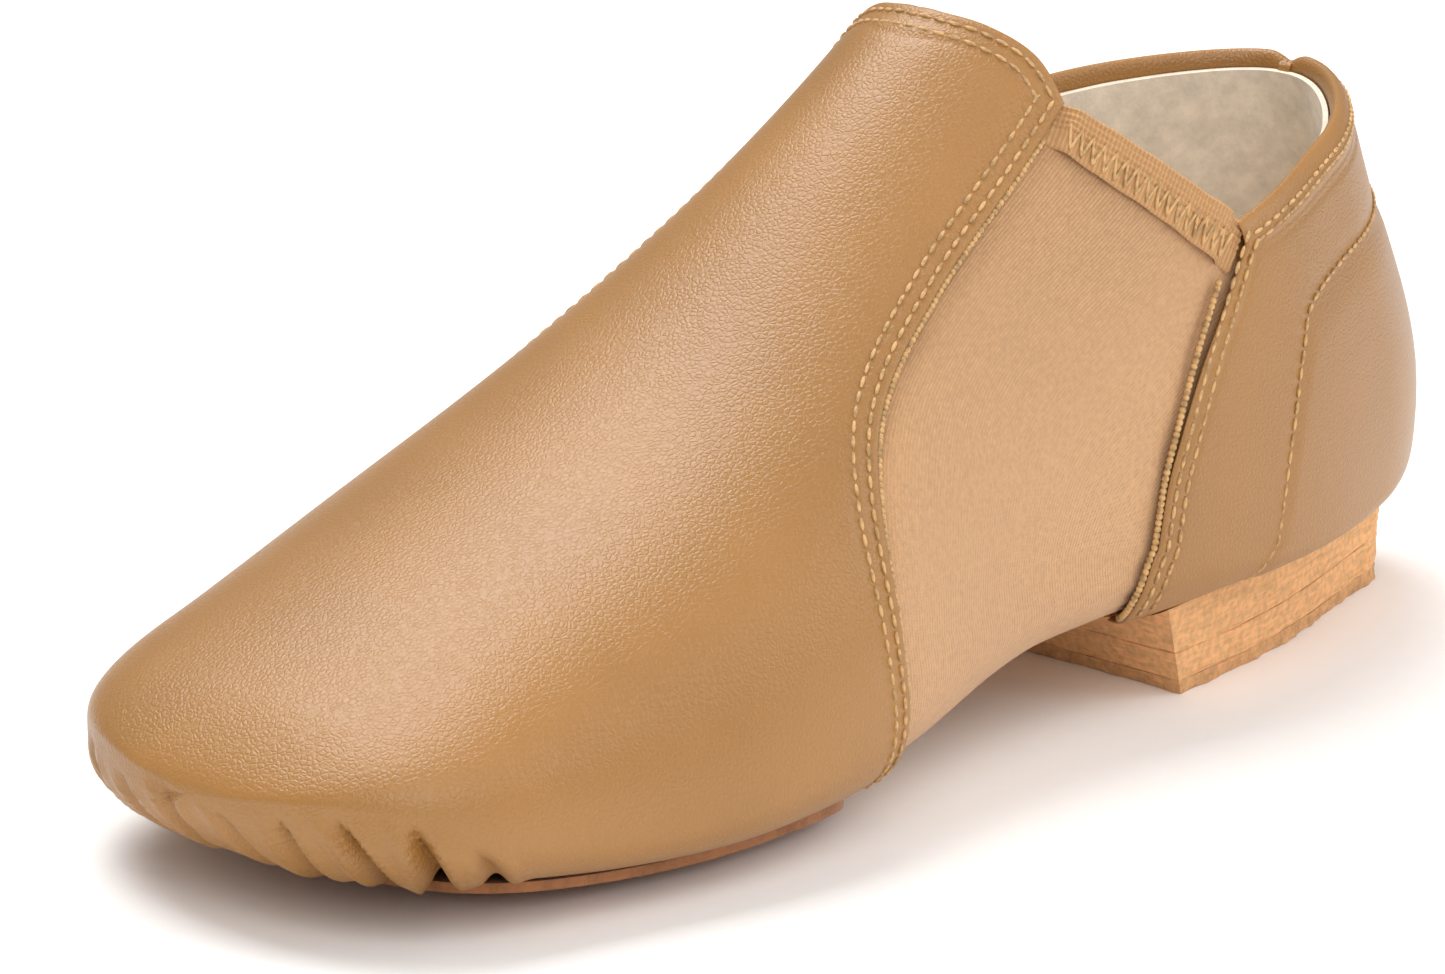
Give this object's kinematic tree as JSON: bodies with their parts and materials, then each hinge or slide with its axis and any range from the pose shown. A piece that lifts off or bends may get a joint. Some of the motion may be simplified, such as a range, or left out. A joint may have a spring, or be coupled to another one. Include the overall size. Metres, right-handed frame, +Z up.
{
  "type": "slip-on dance shoe",
  "caption": "Low slip-on dance shoe for a left foot, tan leather with a stretch arch gore, split suede sole and a low stacked heel.",
  "frame": {"origin": "on the surface that the shoe stands on, under the middle of the shoe's box", "axes": "+Z up, toe towards -Y, heel towards +Y, +X towards the wearer's left, the little-toe side"},
  "size_m": [0.093, 0.245, 0.102],
  "materials": {
    "leather": "satin tan grain leather",
    "lining": "pale brushed knit lining",
    "neoprene": "tan ribbed knit laminated to thin foam, matt",
    "elastic": "woven ribbed elastic binding",
    "tape": "plain woven reinforcing tape",
    "thread": "bonded sewing thread, tan",
    "suede": "brown split suede, napped",
    "leatherboard": "pressed leather fibre board, napped edge",
    "insole_board": "pressed fibre board",
    "felt": "felt filler",
    "foam": "soft latex foam",
    "nail_steel": "bright steel"
  },
  "bodies": {
    "root": {"vamp": "leather", "quarter_lateral": "leather", "quarter_medial": "leather", "vamp_lining": "lining", "quarter_lining": "lining", "sock_liner": "lining", "arch_gore": "neoprene", "elastic_band_lateral": "elastic", "topline_tape_lateral": "tape", "quarter_thread_lateral_front": "thread", "quarter_thread_lateral_rear": "thread", "vamp_cord_lateral": "thread", "quarter_cord_lateral": "thread", "band_zigzag_lateral": "thread", "elastic_band_medial": "elastic", "topline_tape_medial": "tape", "quarter_thread_medial_front": "thread", "quarter_thread_medial_rear": "thread", "vamp_cord_medial": "thread", "quarter_cord_medial": "thread", "band_zigzag_medial": "thread", "heel_counter": "insole_board", "back_seam_tape": "tape", "vamp_thread_outer": "thread", "vamp_thread_inner": "thread", "collar_thread_upper": "thread", "collar_thread_lower": "thread", "counter_thread": "thread", "outsole_front": "suede", "bottom_filler": "felt", "insole_front": "insole_board", "heel_filler": "felt", "heel_insole": "insole_board", "heel_pad": "foam", "heel_lift_upper": "leatherboard", "heel_lift_lower": "leatherboard", "heel_top_piece": "suede", "heel_nail_1": "nail_steel", "heel_nail_2": "nail_steel", "heel_nail_3": "nail_steel", "heel_nail_4": "nail_steel", "heel_nail_5": "nail_steel"}
  },
  "joints": []
}
